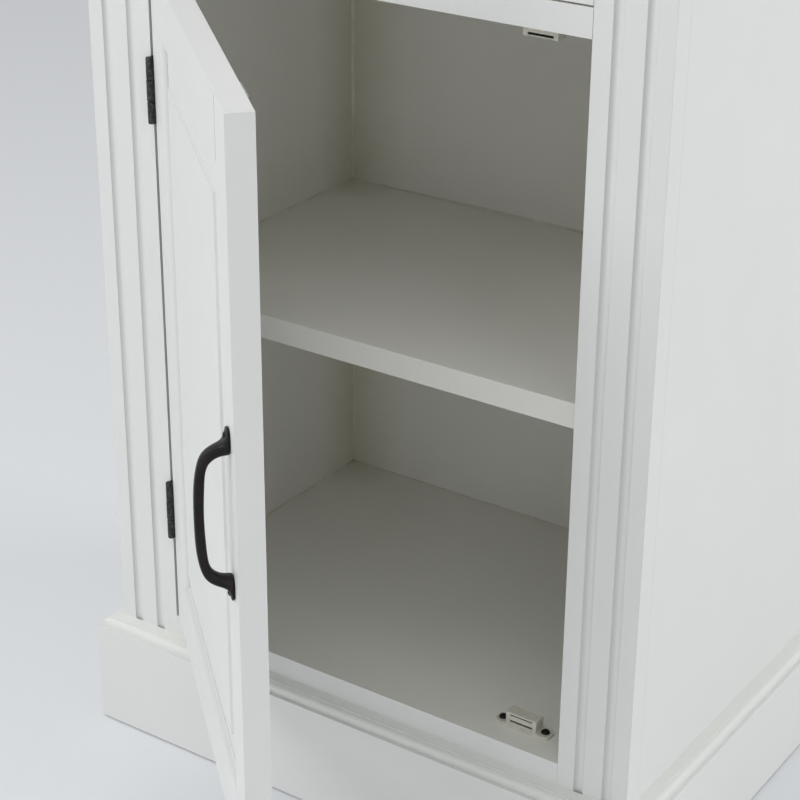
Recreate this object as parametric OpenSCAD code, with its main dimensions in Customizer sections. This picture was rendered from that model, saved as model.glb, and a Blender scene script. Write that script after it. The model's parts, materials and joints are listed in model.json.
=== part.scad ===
// Painted highboard: one framed door over a compartment with a shelf, two inset drawers above it.
// Origin at floor level, mid-width, on the front plane of the face frame. X right, Y to the back, Z up.
// The door is drawn closed and then swung open about its hinge pins.

/* [Case] */
// Clear width of the door and drawer openings
open_w = 400; // [370:1:440]
// Clear height of the door opening
open_h = 600; // [560:1:660]
// Height of the bottom rail's top edge over the floor
base_h = 130; // [124:1:150]
// Clear height of each drawer opening
drawer_open_h = 154; // [146:1:190]
// Width of the two face frame stiles
stile_w = 64; // [60:1:76]
// Height of the three narrow face frame rails
rail_h = 22; // [21:1:32]
// Thickness of the face frame
frame_t = 20; // [18:0.5:22]
// Depth of the case from the front of the face frame to its back
case_d = 352; // [346:1:420]
// Thickness of the side panels
side_t = 16; // [14:0.5:19]
// Thickness of the back panel
back_t = 8; // [5:0.5:9]
// Thickness of the bottom panel and of the panel over the door compartment
panel_t = 18; // [15:0.5:19]
// Depth of the housings that carry the panels in the sides
housing_d = 6; // [4:0.5:8]

/* [Flutes] */
// Width of each round flute in the stiles
flute_w = 8.7; // [6:0.1:12]
// Depth of the flutes
flute_d = 2.8; // [1.5:0.1:4]
// From the stile's inner edge to the middle of its first flute
flute_in = 19.8; // [12:0.1:24]
// Distance between the two flutes of a stile
flute_pitch = 25.8; // [18:0.1:28]

/* [Shelf] */
// Height of the shelf's top over the compartment's floor
shelf_z = 310; // [220:1:400]
// Thickness of the shelf
shelf_t = 21.4; // [16:0.2:26]
// Setback of the shelf's front edge from the front of the frame
shelf_y = 24.7; // [23:0.1:60]

/* [Plinth] */
// Height of the plinth boards
plinth_h = 100; // [80:1:108]
// Thickness of the plinth boards
plinth_t = 18; // [15:0.5:24]
// Gap between the plinth boards and the floor, which leaves the case standing on its own members
plinth_gap = 1.5; // [0.5:0.1:4]
// Height of the cap moulding on the plinth
cap_h = 10; // [9:0.2:14]
// Width of the cap's upper ledge
cap_ledge = 9; // [6:0.2:10]
// Fall of the ledge towards its front
cap_fall = 1.5; // [0.5:0.1:2]
// Small step under the ledge
cap_quirk = 0.8; // [0.4:0.1:1.2]
// Radius of the cap's quarter round
cap_r = 5; // [3:0.2:5.6]

/* [Top] */
// Thickness of the top board
top_t = 22; // [18:0.5:30]
// Overhang of the top board at the front and the sides
top_over = 20; // [17:0.5:30]
// Radius of the top board's edges
top_edge_r = 4; // [2:0.5:8]
// Height of the moulding under the top board
crown_h = 14; // [12:0.5:20]
// Projection of the moulding under the top board
crown_out = 12; // [10:0.5:16]
// Radius of that moulding's cove
crown_r = 9; // [6:0.5:9.5]
// Gap at each mitre of the mouldings
mitre_gap = 0.1; // [0.05:0.05:0.4]

/* [Door] */
// Gap at each side of the door
door_gap = 2; // [1.6:0.1:3]
// Gap over and under the door
door_gap_z = 2.2; // [1.6:0.1:4]
// Thickness of the door's frame
door_t = 19.7; // [18:0.1:20.4]
// Angle at which the door stands open
open_deg = 42.8; // [0:0.1:90]
// Face width of the door's two stiles
door_stile_w = 44; // [40:0.5:56]
// Face width of the door's top rail
door_top_w = 45; // [40:0.5:60]
// Face width of the door's bottom rail
door_bottom_w = 52; // [44:0.5:80]
// Radius of the moulded edge round the panel
stick_r = 4.8; // [3:0.1:6]
// Small step between the face and the moulded edge
stick_quirk = 0.2; // [0.1:0.1:1]
// Straight edge under the moulding, down to the panel
stick_lip = 0.5; // [0.3:0.1:1.2]
// Depth of the groove that holds the panel
groove_d = 9; // [7:0.5:12]
// Thickness of the panel where it enters the groove
tongue_t = 7; // [5:0.2:8]
// Clearance of the panel and the tenons in the groove
groove_fit = 0.1; // [0.05:0.05:0.3]
// Space left for the panel at the bottom of the groove
groove_room = 1.5; // [0.5:0.1:3]
// From the face's inner edge to the raised field of the panel
field_in = 33.5; // [25:0.5:50]
// Depth of the raised field under the face of the frame
field_y = 1.5; // [0.5:0.1:2]
// Height of the step round the raised field
field_step = 2.5; // [1:0.1:2.6]

/* [Hinges] */
// Length of each butt hinge
hinge_l = 55; // [45:1:76]
// From the top of the door to the middle of the upper hinge
hinge_top = 103.8; // [60:0.2:140]
// From the bottom of the door to the middle of the lower hinge
hinge_low = 108.6; // [60:0.2:140]
// Radius of the hinge barrel
barrel_r = 2.7; // [2.4:0.1:3.2]
// Distance of the pin in front of the face frame
pin_y = 3.4; // [3.2:0.1:6]
// Radius of the pin
pin_r = 1.3; // [1:0.1:1.7]
// Running clearance round the pin
pin_play = 0.05; // [0.02:0.01:0.1]
// Thickness of the leaves
leaf_t = 1.3; // [1.2:0.1:2]
// Gap between the leaves when the door is closed
leaf_play = 0.2; // [0.1:0.05:0.4]
// Reach of a leaf from the pin
leaf_w = 19; // [17:0.5:21]
// Gap between two knuckles
knuckle_gap = 0.3; // [0.1:0.1:0.5]

/* [Pulls] */
// Length of a pull over its feet
pull_l = 135; // [130:1:150]
// Projection of a pull
pull_out = 27; // [25:0.5:36]
// Thickness of the pull's round bar
bar_t = 7.5; // [6:0.5:9]
// Half the length of the pull's arch where it meets the feet
arch_half = 54.5; // [50:0.5:56]
// Outer radius of the arch's two bends
arch_end_r = 14; // [12:0.5:15]
// Length of the straight roots between the bends and the face
root_l = 9.5; // [7:0.5:10]
// Thickness of the feet
foot_t = 3; // [2:0.1:3.4]
// Width of the feet
foot_w = 15; // [12:0.5:18]
// From the tip of a foot to its screw
foot_screw_in = 6.5; // [5:0.5:7]
// From the free edge of the door to the middle of the pull
pull_in = 22; // [16:0.5:30]
// From the bottom of the door to the middle of the pull
pull_z = 304.1; // [180:0.1:380]

/* [Catches] */
// From the edge of the opening to the middle of the lower catch
catch_low_in = 49; // [40:0.5:90]
// From the edge of the opening to the middle of the upper catch
catch_top_in = 54.5; // [40:0.5:90]
// Width, depth and height of a catch's body
catch_w = 29; // [24:0.5:32]
// Depth of a catch's body
catch_d = 12.2; // [10:0.2:16]
// Height of a catch's body
catch_h = 13.6; // [13:0.2:15]
// Length of a catch's flange
flange_l = 53; // [51:0.5:58]
// Width of a catch's flange
flange_w = 15; // [12:0.5:16]
// Thickness of a catch's flange
flange_t = 2.5; // [2:0.1:3]
// Distance between a catch's two screws
catch_pitch = 40.6; // [40:0.2:44]
// Width of the steel poles of a catch
pole_w = 21.3; // [16:0.1:22]
// Thickness of the poles
pole_t = 1; // [0.8:0.1:1.2]
// Height of the first pole over the catch's mounting face
pole_z = 5.5; // [4:0.1:6]
// Distance between the two poles
pole_pitch = 5.7; // [4:0.1:6]
// Gap between a catch and its strike plate when the door is closed
catch_play = 1.2; // [0.5:0.1:2]
// Length of a strike plate
strike_l = 32; // [26:1:40]
// Height of a strike plate
strike_h = 12; // [10:0.5:12]
// Thickness of a strike plate
strike_t = 2; // [1.5:0.1:2.4]
// From the catch's mounting face to the middle of its strike plate
strike_z = 10; // [9.4:0.1:12]

/* [Drawers] */
// Gap at each side of the drawers
drawer_gap = 0.4; // [0.3:0.1:1]
// Gap over and under the drawer fronts
drawer_gap_z = 1.5; // [1:0.1:3]
// Space between the back of a drawer and the rear rails
drawer_room = 6; // [2:1:60]
// Thickness of a drawer's sides and back
drawer_side_t = 12; // [10:0.5:15]
// Height of a drawer's sides
drawer_side_h = 130; // [100:1:136]
// Thickness of a drawer's bottom
drawer_bottom_t = 6; // [4:0.5:8]
// Depth of the groove for a drawer's bottom
drawer_groove = 5; // [4:0.5:7]
// Height of a drawer's bottom over the lower edge of its sides
drawer_bottom_z = 10; // [9:0.5:16]
// Width of the runners under the drawer's sides
runner_w = 16; // [13:0.5:24]
// Height of the guides over the runners
guide_h = 34; // [20:1:60]
// Gap over a drawer's sides
kick_play = 2; // [1:0.5:4]
// Width of a drawer stop
stop_w = 30; // [20:1:50]
// Thickness of a drawer stop
stop_t = 12; // [8:1:20]
// Height of a drawer stop over the drawer's lower edge
stop_up = 6; // [4:0.5:8]
// Distance of each stop from the middle
stop_x = 90; // [60:1:140]

/* [Rear rails and blocks] */
// Thickness of the two rear rails
rear_rail_t = 18; // [15:0.5:19]
// Height of the wall fixing rail
wall_rail_h = 80; // [60:1:100]
// Distance between the two wall fixing holes
wall_pitch = 240; // [160:1:320]
// Radius of the wall fixing holes
wall_hole_r = 3.25; // [2.5:0.05:4]
// Width of the glue blocks
block_w = 15; // [12:1:25]
// Space under the glue blocks
block_up = 10; // [0:1:20]

/* [Screws] */
// Radius of a screw's shank
shank_r = 1.4; // [1.2:0.05:1.5]
// Radius of a countersunk head
csk_r = 2.8; // [2.6:0.05:2.9]
// Radius of a round head
round_r = 2.9; // [2.5:0.05:3]
// Height of a round head
round_h = 1.7; // [1.2:0.1:2.2]
// Width of the slot in a head
slot_w = 0.8; // [0.5:0.1:1]
// Depth of the slot in a head
slot_d = 0.6; // [0.4:0.1:0.8]
// Length of the hinge screws
hinge_screw_l = 14; // [10:1:18]
// Length of the pull screws
pull_screw_l = 15; // [10:1:17]
// Length of the catch and strike screws
small_screw_l = 12; // [8:1:13]
// Clearance round the screws
screw_play = 0.05; // [0.02:0.01:0.1]

/* [Hidden] */
$fn = 64;

// Reach of cutters past the faces that they cut
past = 1;

// Half widths: opening, outside of the case, inside of the case, outside of a drawer
half_w = open_w / 2;
out_w = half_w + stile_w;
in_w = out_w - side_t;
drawer_w = half_w - drawer_gap;

// Heights of the openings and of the case
door_open_top = base_h + open_h;
low_z = door_open_top + rail_h;
up_z = low_z + drawer_open_h + rail_h;
case_h = up_z + drawer_open_h + rail_h;
divider_top = door_open_top + panel_t;
shelf_top = base_h + shelf_z;

// Depths of the inside
in_back = case_d - back_t;
rail_back = in_back - rear_rail_t;

// Flute: a cylinder that cuts a round groove of that width and depth
flute_r = (pow(flute_w / 2, 2) + pow(flute_d, 2)) / (2 * flute_d);

// Door, closed
door_x0 = -half_w + door_gap;
door_x1 = half_w - door_gap;
door_z0 = base_h + door_gap_z;
door_z1 = door_open_top - door_gap_z;
groove_y0 = stick_quirk + stick_r + stick_lip;
groove_y1 = groove_y0 + tongue_t + 2 * groove_fit;
panel_back_y = groove_y1 - groove_fit;
bevel_y = groove_y0 + groove_fit;
tongue_in = groove_d - groove_room;

// Hinges: the pin stands in the middle of the gap beside the door
pin_x = -half_w + door_gap / 2;
leaf_in = leaf_t + leaf_play / 2;
leaf_recess = leaf_in - door_gap / 2;
leaf_root = (pin_r + pin_play + barrel_r) / 2;
knuckle_l = (hinge_l - 2 * knuckle_gap) / 3;
hinge_bottoms = [door_z0 + hinge_low - hinge_l / 2, door_z1 - hinge_top - hinge_l / 2];
screw_heights = [hinge_l * 0.16, hinge_l * 0.5, hinge_l * 0.84];
screw_reach = [leaf_w - 4.5, leaf_w - 7.5, leaf_w - 4.5];

// Pull: an arch of three arcs on two straight roots, from its projection, half length and end radius
arch_end_z = arch_half - arch_end_r;
arch_rise = pull_out - root_l;
arch_mid_r = (pow(arch_end_z, 2) + pow(arch_rise, 2) - pow(arch_end_r, 2)) / (2 * (arch_rise - arch_end_r));
arch_turn = asin(arch_end_z / (arch_mid_r - arch_end_r));
arch_joint_y = arch_mid_r - pull_out - (arch_mid_r - bar_t / 2) * cos(arch_turn);
arch_joint_z = (arch_mid_r - bar_t / 2) * sin(arch_turn);
arch_bead = 0.03;
foot_screw_z = pull_l / 2 - foot_screw_in;
door_pull_x = door_x1 - pull_in;
door_pull_z = door_z0 + pull_z;

// Catches and strike plates
catch_y = door_t + strike_t + catch_play;
flange_y = catch_d / 2;
catch_low_x = half_w - catch_low_in;
catch_top_x = half_w - catch_top_in;
pole_d = catch_d * 0.8;
pole_recess = 1.2;
pole_slack = 0.3;

// Drawers: lower edge of each one's sides and front
drawer_edges = [low_z + drawer_gap_z, up_z + drawer_gap_z];
drawer_in = drawer_w - drawer_side_t;
drawer_back_y = rail_back - drawer_room;
runner_bottoms = [divider_top, drawer_edges[0] + drawer_side_h + kick_play];
kicker_bottom = drawer_edges[1] + drawer_side_h + kick_play;
stop_bottoms = [divider_top, up_z - rail_h];
drawer_pull_z = drawer_open_h / 2 - drawer_gap_z;
wall_hole_z = case_h - wall_rail_h / 2;

paint = [0.86, 0.87, 0.87];
pine = [0.82, 0.68, 0.47];
iron = [0.11, 0.10, 0.09];
steel = [0.62, 0.62, 0.60];
plastic = [0.76, 0.75, 0.69];

// A board between two x, two y and two z values
module board(x, y, z) {
    translate([x[0], y[0], z[0]])
        cube([x[1] - x[0], y[1] - y[0], z[1] - z[0]]);
}

// Two copies, left and right of the middle
module both_sides() {
    children();
    mirror([1, 0, 0]) children();
}

// Turns a part that points down its own Z so that it points to -X, +X or +Y
module to_left() {
    rotate([0, 90, 0]) children();
}

module to_right() {
    rotate([0, -90, 0]) children();
}

module to_back() {
    rotate([90, 0, 0]) children();
}

// Countersunk screw: its head is flush with z = 0 and it points down
module csk_body(length, play) {
    head = csk_r - shank_r;
    translate([0, 0, -head])
        cylinder(h = head, r1 = shank_r + play, r2 = csk_r + play);
    translate([0, 0, -length - play])
        cylinder(h = length + play, r = shank_r + play);
}

module slot_cut(radius) {
    translate([-radius - past, -slot_w / 2, -slot_d])
        cube([2 * (radius + past), slot_w, slot_d + round_h + past]);
}

module csk_screw(length) {
    difference() {
        csk_body(length, 0);
        slot_cut(csk_r);
    }
}

module csk_hole(length) {
    csk_body(length, screw_play);
    translate([0, 0, -screw_play])
        cylinder(h = past, r = csk_r + screw_play);
}

// Round head screw: its head stands on z = 0 and it points down
module round_screw(length) {
    dome_r = (pow(round_r, 2) + pow(round_h, 2)) / (2 * round_h);
    translate([0, 0, -length])
        cylinder(h = length, r = shank_r);
    difference() {
        intersection() {
            translate([0, 0, round_h - dome_r])
                sphere(r = dome_r);
            cylinder(h = round_h, r = round_r);
        }
        translate([0, 0, round_h])
            slot_cut(round_r);
    }
}

module round_hole(length) {
    translate([0, 0, -length - screw_play])
        cylinder(h = length + screw_play + past, r = shank_r + screw_play);
}

// Case

module side_panel() {
    color(paint)
    difference() {
        board([in_w, out_w], [frame_t, case_d], [0, case_h]);
        board([in_w - past, in_w + housing_d], [frame_t - past, in_back], [base_h - panel_t, base_h]);
        board([in_w - past, in_w + housing_d], [shelf_y, in_back], [shelf_top - shelf_t, shelf_top]);
        board([in_w - past, in_w + housing_d], [frame_t - past, in_back], [door_open_top, divider_top]);
        board([in_w - past, in_w + side_t / 2], [in_back, case_d + past], [base_h - panel_t, case_h + past]);
    }
}

module left_side() {
    mirror([1, 0, 0]) side_panel();
}

module right_side() {
    side_panel();
}

module wall_holes() {
    both_sides()
        translate([wall_pitch / 2, rail_back - past, wall_hole_z])
            rotate([-90, 0, 0])
                cylinder(h = case_d - rail_back + 2 * past, r = wall_hole_r);
}

module back_panel() {
    edge = in_w + side_t / 2;
    color(paint)
    difference() {
        board([-edge, edge], [in_back, case_d], [base_h - panel_t, case_h]);
        wall_holes();
    }
}

module housed_board(y0, z0, z1) {
    edge = in_w + housing_d;
    board([-edge, edge], [y0, in_back], [z0, z1]);
}

module bottom_panel() {
    color(paint)
    difference() {
        housed_board(frame_t, base_h - panel_t, base_h);
        translate([catch_low_x, catch_y, base_h]) catch_holes();
    }
}

module shelf() {
    color(paint) housed_board(shelf_y, shelf_top - shelf_t, shelf_top);
}

module divider_panel() {
    color(paint)
    difference() {
        housed_board(frame_t, door_open_top, divider_top);
        translate([catch_top_x, catch_y, door_open_top]) mirror([0, 0, 1]) catch_holes();
    }
}

// Face frame

module fluted_stile() {
    translate([half_w, 0, 0])
        linear_extrude(case_h)
            difference() {
                square([stile_w, frame_t]);
                for (i = [0, 1])
                    translate([flute_in + i * flute_pitch, flute_d - flute_r])
                        circle(r = flute_r);
            }
}

module left_stile() {
    color(paint)
    difference() {
        mirror([1, 0, 0]) fluted_stile();
        for (z = hinge_bottoms)
            translate([pin_x, -pin_y, z]) {
                board([-leaf_in, door_gap], [pin_y - past, leaf_w], [0, hinge_l]);
                frame_screw_places() csk_hole(hinge_screw_l);
            }
    }
}

module right_stile() {
    color(paint) fluted_stile();
}

module frame_rail(z0, z1) {
    color(paint) board([-half_w, half_w], [0, frame_t], [z0, z1]);
}

module bottom_rail() {
    frame_rail(0, base_h);
}

module middle_rail() {
    frame_rail(door_open_top, low_z);
}

module drawer_rail() {
    frame_rail(up_z - rail_h, up_z);
}

module top_rail() {
    frame_rail(case_h - rail_h, case_h);
}

// Top

// A flat section with a rounded edge at x = 0
module nosed_section(length) {
    translate([top_edge_r, 0]) square([length - top_edge_r, top_t]);
    translate([0, top_edge_r]) square([length, top_t - 2 * top_edge_r]);
    translate([top_edge_r, top_edge_r]) circle(r = top_edge_r);
    translate([top_edge_r, top_t - top_edge_r]) circle(r = top_edge_r);
}

module top_board() {
    half = out_w + top_over;
    color(paint)
    translate([0, 0, case_h])
        intersection() {
            translate([-half, -top_over, 0])
                rotate([90, 0, 90])
                    linear_extrude(2 * half)
                        nosed_section(top_over + case_d);
            translate([0, case_d, 0])
                rotate([90, 0, 0])
                    linear_extrude(case_d + top_over + past)
                        both_sides()
                            translate([-half, 0])
                                nosed_section(half);
        }
}

// Three mitred lengths of a moulding, planted on the front and the sides of the case.
// The section's x points out of the case. The first length is the front one.
module front_length(reach) {
    slack = mitre_gap;
    intersection() {
        translate([-out_w - reach, 0, 0])
            rotate([90, 0, 90])
                linear_extrude(2 * (out_w + reach))
                    mirror([1, 0]) children();
        translate([0, 0, -past])
            linear_extrude(case_h)
                polygon([
                    [-out_w - reach + slack, -reach], [out_w + reach - slack, -reach],
                    [out_w - slack, 0], [-out_w + slack, 0]
                ]);
    }
}

module side_length(reach) {
    intersection() {
        translate([out_w, case_d, 0])
            rotate([90, 0, 0])
                linear_extrude(case_d + reach)
                    children();
        translate([0, 0, -past])
            linear_extrude(case_h)
                polygon([[out_w, 0], [out_w + reach, -reach], [out_w + reach, case_d], [out_w, case_d]]);
    }
}

module crown_section() {
    difference() {
        square([crown_out, crown_h]);
        translate([crown_out, 0]) circle(r = crown_r);
    }
}

module top_moulding() {
    color(paint)
    translate([0, 0, case_h - crown_h]) {
        front_length(crown_out) crown_section();
        both_sides() side_length(crown_out) crown_section();
    }
}

// Plinth

module front_plinth() {
    edge = out_w + plinth_t;
    color(paint) board([-edge, edge], [-plinth_t, 0], [plinth_gap, plinth_h]);
}

module side_plinth() {
    color(paint) board([out_w, out_w + plinth_t], [0, case_d], [plinth_gap, plinth_h]);
}

module left_plinth() {
    mirror([1, 0, 0]) side_plinth();
}

module right_plinth() {
    side_plinth();
}

// Sloping ledge, small step, quarter round and a straight edge down to the plinth
module cap_section() {
    round_z = cap_h - cap_fall - cap_quirk - cap_r;
    polygon([[0, 0], [0, cap_h], [cap_ledge, cap_h - cap_fall], [cap_ledge, 0]]);
    square([cap_ledge + cap_r, round_z]);
    translate([cap_ledge, round_z])
        intersection() {
            circle(r = cap_r);
            square(cap_r);
        }
}

module base_moulding() {
    reach = cap_ledge + cap_r;
    color(paint)
    translate([0, 0, plinth_h]) {
        front_length(reach) cap_section();
        both_sides() side_length(reach) cap_section();
    }
}

// Rear rails, blocks and what carries the drawers

module rear_base_rail() {
    color(pine) board([-in_w, in_w], [rail_back, in_back], [0, base_h - panel_t]);
}

module wall_rail() {
    color(pine)
    difference() {
        board([-in_w, in_w], [rail_back, in_back], [case_h - wall_rail_h, case_h]);
        wall_holes();
    }
}

module glue_blocks() {
    color(pine)
    both_sides()
        for (y = [frame_t, rail_back - block_w])
            board([in_w - block_w, in_w], [y, y + block_w], [block_up, base_h - panel_t]);
}

module drawer_guides() {
    color(pine)
    both_sides()
        for (i = [0, 1])
            board([half_w, in_w], [frame_t, in_back], [runner_bottoms[i], drawer_edges[i] + guide_h]);
}

module drawer_runners() {
    color(pine)
    both_sides()
        for (i = [0, 1])
            board([half_w - runner_w, half_w], [frame_t, in_back], [runner_bottoms[i], drawer_edges[i]]);
}

module drawer_kickers() {
    color(pine)
    both_sides()
        board([half_w - runner_w, in_w], [frame_t, rail_back], [kicker_bottom, case_h]);
}

module drawer_stops() {
    color(pine)
    both_sides()
        for (i = [0, 1])
            translate([stop_x, frame_t, stop_bottoms[i]])
                cube([stop_w, stop_t, drawer_edges[i] + stop_up - stop_bottoms[i]]);
}

// Magnetic catches: drawn standing on z = 0, with the body's front at y = 0

module catch_screw_places() {
    both_sides()
        translate([catch_pitch / 2, flange_y, flange_t])
            children();
}

module catch_holes() {
    catch_screw_places() round_hole(small_screw_l);
}

module catch_poles_local(width, thickness, depth) {
    for (i = [0, 1])
        translate([-width / 2, 0, pole_z + i * pole_pitch - thickness / 2])
            cube([width, depth, thickness]);
}

module catch_body() {
    difference() {
        union() {
            translate([-catch_w / 2, 0, 0])
                cube([catch_w, catch_d, catch_h]);
            translate([0, flange_y, 0])
                linear_extrude(flange_t)
                    both_sides() {
                        translate([(flange_l - flange_w) / 2, 0]) circle(d = flange_w);
                        translate([0, -flange_w / 2]) square([(flange_l - flange_w) / 2, flange_w]);
                    }
        }
        translate([0, -past, 0])
            catch_poles_local(pole_w + pole_slack, pole_t + pole_slack, pole_d + past + pole_recess);
        catch_holes();
    }
}

module lower_catch_body() {
    color(plastic)
    translate([catch_low_x, catch_y, base_h]) catch_body();
}

module upper_catch_body() {
    color(plastic)
    translate([catch_top_x, catch_y, door_open_top]) mirror([0, 0, 1]) catch_body();
}

module at_catches() {
    translate([catch_low_x, catch_y, base_h]) children();
    translate([catch_top_x, catch_y, door_open_top]) mirror([0, 0, 1]) children();
}

module catch_poles() {
    color(steel)
    at_catches()
        translate([0, pole_recess, 0])
            catch_poles_local(pole_w, pole_t, pole_d);
}

module catch_screws() {
    color(iron)
    at_catches()
        catch_screw_places() round_screw(small_screw_l);
}

// Hinges: drawn with the pin on the z axis and the lower end at z = 0

module frame_screw_places() {
    for (i = [0, 1, 2])
        translate([-leaf_play / 2, screw_reach[i], screw_heights[i]])
            to_left() children();
}

module door_screw_places() {
    mirror([1, 0, 0]) frame_screw_places() children();
}

module knuckle(i, radius, slack) {
    translate([0, 0, i * (knuckle_l + knuckle_gap) - slack])
        cylinder(h = knuckle_l + 2 * slack, r = radius);
}

// A leaf whose plate lies left of the pin. It rolls round the pin at its own knuckles.
module leaf(own, others) {
    difference() {
        union() {
            board([-leaf_in, -leaf_play / 2], [leaf_root, leaf_w], [0, hinge_l]);
            for (i = own)
                knuckle(i, barrel_r, 0);
        }
        for (i = others)
            knuckle(i, barrel_r + knuckle_gap, knuckle_gap);
        translate([0, 0, -past])
            cylinder(h = hinge_l + 2 * past, r = pin_r + pin_play);
        frame_screw_places() csk_hole(hinge_screw_l);
    }
}

module frame_leaf(i) {
    color(iron)
    translate([pin_x, -pin_y, hinge_bottoms[i]])
        leaf([0, 2], [1]);
}

module door_leaf(i) {
    color(iron)
    swung()
        translate([pin_x, -pin_y, hinge_bottoms[i]])
            mirror([1, 0, 0]) leaf([1], [0, 2]);
}

module lower_hinge_frame_leaf() {
    frame_leaf(0);
}

module upper_hinge_frame_leaf() {
    frame_leaf(1);
}

module lower_hinge_door_leaf() {
    door_leaf(0);
}

module upper_hinge_door_leaf() {
    door_leaf(1);
}

module hinge_pins() {
    color(iron)
    for (z = hinge_bottoms)
        translate([pin_x, -pin_y, z])
            cylinder(h = hinge_l, r = pin_r);
}

module hinge_frame_screws() {
    color(iron)
    for (z = hinge_bottoms)
        translate([pin_x, -pin_y, z])
            frame_screw_places() csk_screw(hinge_screw_l);
}

module hinge_door_screws() {
    color(iron)
    swung()
        for (z = hinge_bottoms)
            translate([pin_x, -pin_y, z])
                door_screw_places() csk_screw(hinge_screw_l);
}

// Door

// Turns what is drawn closed about the hinge pins, to the angle at which the door stands open
module swung() {
    translate([pin_x, -pin_y, 0])
        rotate([0, 0, -open_deg])
            translate([-pin_x, pin_y, 0])
                children();
}

// Section of a door frame member with its moulded and grooved edge at x = face.
// The moulded edges of stiles and rails meet in mitres.
module member_section(face) {
    inner = face + stick_r;
    difference() {
        union() {
            square([face, door_t]);
            translate([0, stick_quirk + stick_r]) square([inner, door_t - stick_quirk - stick_r]);
            translate([face, stick_quirk + stick_r]) circle(r = stick_r);
        }
        translate([inner - groove_d, groove_y0]) square([groove_d + past, groove_y1 - groove_y0]);
    }
}

// Cuts a door member to its outline in the plane of the door
module cut_to(points) {
    intersection() {
        children();
        translate([0, door_t + past, 0])
            rotate([90, 0, 0])
                linear_extrude(door_t + 2 * past)
                    polygon(points);
    }
}

module hinge_stile_shape() {
    face_x = door_x0 + door_stile_w;
    low = door_z0 + door_bottom_w;
    top = door_z1 - door_top_w;
    cut_to([
        [door_x0, door_z0], [face_x, door_z0], [face_x, low], [face_x + stick_r, low + stick_r],
        [face_x + stick_r, top - stick_r], [face_x, top], [face_x, door_z1], [door_x0, door_z1]
    ])
        translate([door_x0, 0, door_z0 - past])
            linear_extrude(door_z1 - door_z0 + 2 * past)
                member_section(door_stile_w);
}

module lock_stile_shape() {
    mirror([1, 0, 0]) hinge_stile_shape();
}

module rail_bar(face) {
    end = door_x1 - door_stile_w;
    cut_to([
        [-end, 0], [end, 0], [end, face], [end - stick_r, face + stick_r],
        [-end + stick_r, face + stick_r], [-end, face]
    ])
        translate([end + past, 0, 0])
            rotate([0, -90, 0])
                linear_extrude(2 * (end + past))
                    member_section(face);
}

// A stub tenon at each end of a rail fills the stiles' grooves up to the edge of the door
module rail_tenons(face) {
    deep = groove_d - stick_r - groove_fit;
    both_sides()
        board([door_x1 - door_stile_w - past, door_x1 - door_stile_w + deep],
              [groove_y0 + groove_fit, groove_y1 - groove_fit], [0, face - stick_r]);
}

module door_rail_shape(face) {
    rail_bar(face);
    rail_tenons(face);
}

module door_hinge_stile() {
    color(paint)
    swung()
        difference() {
            hinge_stile_shape();
            for (z = hinge_bottoms)
                translate([pin_x, -pin_y, z]) {
                    board([0, leaf_in], [pin_y - past, leaf_w], [0, hinge_l]);
                    door_screw_places() csk_hole(hinge_screw_l);
                }
        }
}

module door_lock_stile() {
    color(paint)
    swung()
        difference() {
            lock_stile_shape();
            translate([door_pull_x, 0, door_pull_z])
                pull_screw_places() round_hole(pull_screw_l);
            strike_places()
                csk_hole(small_screw_l);
        }
}

module door_bottom_rail() {
    color(paint)
    swung()
        difference() {
            translate([0, 0, door_z0]) door_rail_shape(door_bottom_w);
            strike_places()
                csk_hole(small_screw_l);
        }
}

module door_top_rail() {
    color(paint)
    swung()
        difference() {
            translate([0, 0, door_z1]) mirror([0, 0, 1]) door_rail_shape(door_top_w);
            strike_places()
                csk_hole(small_screw_l);
        }
}

// Section of the panel along x, between two sight lines
module panel_section(x0, x1) {
    field = field_in - stick_r;
    edge_y = bevel_y + (bevel_y - field_y - field_step) * tongue_in / field;
    polygon([
        [x0 - tongue_in, panel_back_y], [x0 - tongue_in, edge_y],
        [x0 + field, field_y + field_step], [x0 + field, field_y],
        [x1 - field, field_y], [x1 - field, field_y + field_step],
        [x1 + tongue_in, edge_y], [x1 + tongue_in, panel_back_y]
    ]);
}

module door_panel() {
    side = door_stile_w + stick_r;
    z0 = door_z0 + door_bottom_w + stick_r;
    z1 = door_z1 - door_top_w - stick_r;
    color(paint)
    swung()
        intersection() {
            translate([0, 0, z0 - groove_d])
                linear_extrude(z1 - z0 + 2 * groove_d)
                    panel_section(door_x0 + side, door_x1 - side);
            translate([door_x1, 0, 0])
                rotate([0, -90, 0])
                    linear_extrude(door_x1 - door_x0)
                        panel_section(z0, z1);
        }
}

// Pulls: drawn with the arch along z, on the plane y = 0, standing out to -y

module arch_arc(y, z, radius, from, to) {
    translate([0, y, z])
        rotate([90, 0, -90])
            rotate([0, 0, from])
                rotate_extrude(angle = to - from)
                    translate([radius - bar_t / 2, 0])
                        circle(d = bar_t);
}

module root() {
    rotate([90, 0, 0])
        cylinder(h = root_l, d = bar_t);
    translate([0, -root_l, 0])
        sphere(r = bar_t / 2 + arch_bead);
}

module foot() {
    tip = pull_l / 2 - foot_w / 2;
    heel = arch_half - bar_t;
    rotate([90, 0, 0])
        linear_extrude(foot_t) {
            translate([0, tip]) circle(d = foot_w);
            translate([-foot_w / 2, heel]) square([foot_w, tip - heel]);
        }
}

module pull_screw_places() {
    for (s = [-1, 1])
        translate([0, -foot_t, s * foot_screw_z])
            to_back() children();
}

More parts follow.
